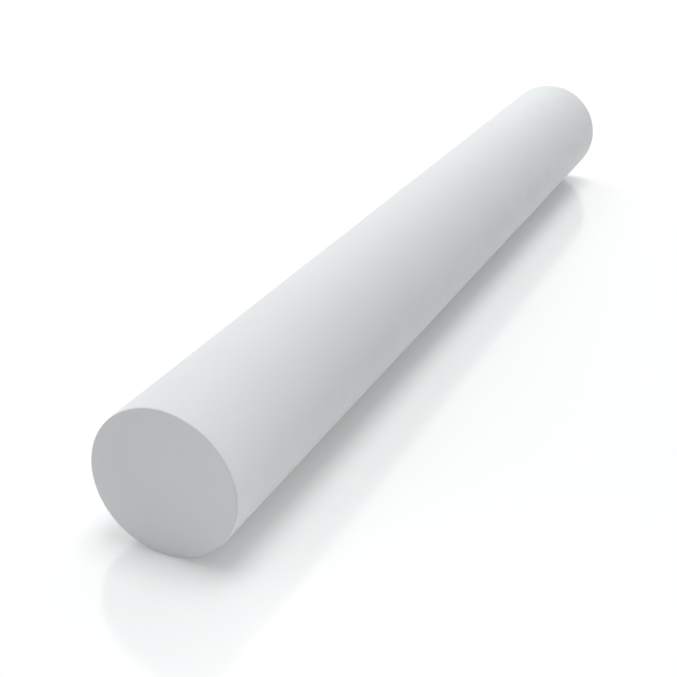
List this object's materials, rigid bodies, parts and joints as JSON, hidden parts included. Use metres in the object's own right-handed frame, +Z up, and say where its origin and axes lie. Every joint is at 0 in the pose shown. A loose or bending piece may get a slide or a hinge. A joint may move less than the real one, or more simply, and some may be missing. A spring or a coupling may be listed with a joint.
{
  "type": "foam roller",
  "caption": "Long round foam roller with closed flat ends and softly rounded end edges: a firm foam core in a softer foam sleeve, inside a smooth sewn cover.",
  "frame": {"origin": "on the floor under the middle of the roller, at the centre of the settled flat on its underside", "axes": "+X along the roller from its left end to its right end, +Z up; the pictured side faces -Y, with the left end nearer"},
  "size_m": [1, 0.12, 0.1195],
  "materials": {
    "cover": "satin pale cool grey coated sheet with a very fine grain",
    "end_panel": "satin pale cool grey coated sheet with a very fine grain",
    "tape": "plain woven binding tape",
    "soft_foam": "open-cell foam, cut surface",
    "firm_foam": "closed-cell foam, extruded"
  },
  "bodies": {
    "root": {"firm_core": "firm_foam", "soft_sleeve": "soft_foam", "seam_tape": "tape", "left_edge_tape": "tape", "right_edge_tape": "tape", "cover_wrap": "cover", "left_end_panel": "end_panel", "right_end_panel": "end_panel"}
  },
  "joints": []
}
